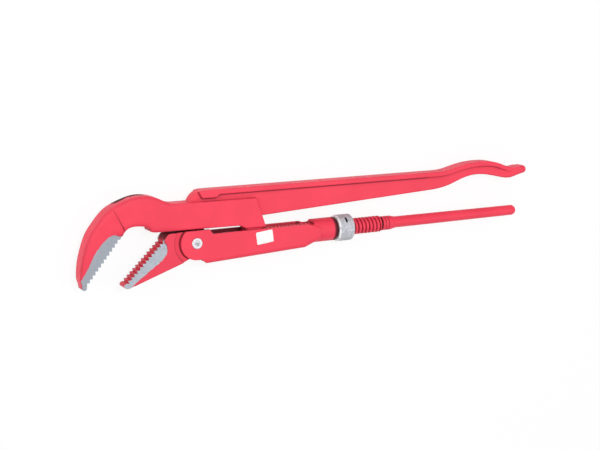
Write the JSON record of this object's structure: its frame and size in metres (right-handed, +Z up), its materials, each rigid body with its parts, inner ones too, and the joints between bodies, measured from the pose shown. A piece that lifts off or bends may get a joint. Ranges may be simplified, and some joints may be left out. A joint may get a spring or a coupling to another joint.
{
  "type": "pipe wrench",
  "caption": "Corner pipe wrench with a toothed hook leg, a pivoting lower jaw on a sliding sleeve, an adjusting nut and a threaded handle rod.",
  "frame": {"origin": "centre of the wrench's footprint as it lies flat, on the surface it lies on", "axes": "+X from the jaws towards the handle ends, +Y from the handle rod towards the long leg, +Z up out of the surface, along the pivots"},
  "size_m": [0.4194, 0.0834, 0.0226],
  "materials": {
    "red_enamel": "semi-gloss sprayed enamel on forged steel",
    "bright_zinc": "bright zinc plate",
    "bare_steel": "bare turned steel"
  },
  "bodies": {
    "leg": {"upper_leg": "red_enamel", "hinge_pin": "bare_steel"},
    "rod": {"handle_rod": "red_enamel"},
    "sleeve": {"guide_sleeve": "red_enamel", "jaw_rivet": "bare_steel"},
    "nut": {"adjusting_nut": "bright_zinc"},
    "jaw": {"lower_jaw": "red_enamel"}
  },
  "joints": [
    {"name": "handle_squeeze", "type": "hinge", "parent": "leg", "child": "rod", "pos_m": [-0.06022, -0.0094, 0.0113], "axis": [0, 0, 1], "range_deg": [0, 4.5]},
    {"name": "sleeve_slide", "type": "slide", "parent": "rod", "child": "sleeve", "axis": [0.9999, 0.0157, 0], "range_m": [-0.026, 0.024]},
    {"name": "nut_turn", "type": "hinge", "parent": "sleeve", "child": "nut", "pos_m": [0.02457, -0.00807, 0.0113], "axis": [0.9999, 0.0157, 0], "range_deg": [-2690, 2480]},
    {"name": "jaw_pivot", "type": "hinge", "parent": "sleeve", "child": "jaw", "pos_m": [-0.11281, -0.00902, 0.0113], "axis": [0, 0, 1], "range_deg": [-3.5, 10]}
  ],
  "couplings": [
    {"joint": "nut_turn", "follows": "sleeve_slide", "rad_per_m": 1795.2}
  ]
}
